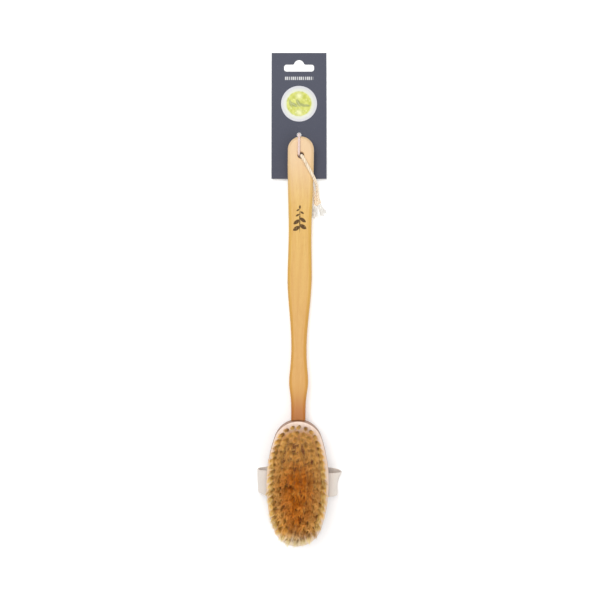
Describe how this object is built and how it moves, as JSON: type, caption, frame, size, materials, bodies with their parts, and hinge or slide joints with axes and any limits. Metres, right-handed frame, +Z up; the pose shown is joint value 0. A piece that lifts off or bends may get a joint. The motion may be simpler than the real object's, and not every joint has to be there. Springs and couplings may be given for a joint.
{
  "type": "body brush",
  "caption": "Oval wooden bristle brush head with a webbing hand strap and a long waisted push-in handle with a hanging cord and a hang card.",
  "frame": {"origin": "the middle of the hand strap's flat underside, under the centre of the oval head, on the surface that the brush lies on with its bristles up", "axes": "+Y along the handle away from the head, +Z up along the bristles, +X across"},
  "size_m": [0.0824, 0.5042, 0.0511],
  "materials": {
    "wood_back": "satin",
    "wood_face": "satin",
    "wood_handle": "satin",
    "bristle": "natural boar bristle",
    "wire": "plain",
    "webbing": "woven cotton",
    "cord": "twisted cotton",
    "tie": "twisted cotton",
    "card": "matt",
    "label": "matt"
  },
  "bodies": {
    "head": {"head_back": "wood_back", "bristle_plate": "wood_face", "tuft_ring_1": "bristle", "tuft_ring_2": "bristle", "tuft_ring_3": "bristle", "tuft_ring_4": "bristle", "tuft_ring_5": "bristle", "tuft_anchors": "wire", "hand_strap": "webbing", "strap_staples": "wire"},
    "handle": {"handle": "wood_handle", "cord_loop": "cord", "cord_knot": "cord", "cord_tails": "cord"},
    "card": {"hang_card": "card", "card_label": "label", "card_tie": "tie", "tie_knot": "tie"}
  },
  "joints": [
    {"name": "handle_pull", "type": "slide", "parent": "head", "child": "handle", "axis": [0, 1, 0], "range_m": [0, 0.037]},
    {"name": "card_swing", "type": "hinge", "parent": "handle", "child": "card", "pos_m": [-0.0018, 0.33205, 0.00365], "axis": [-0.0003, 0.0309, 0.9995], "range_deg": [-3, 3]}
  ]
}
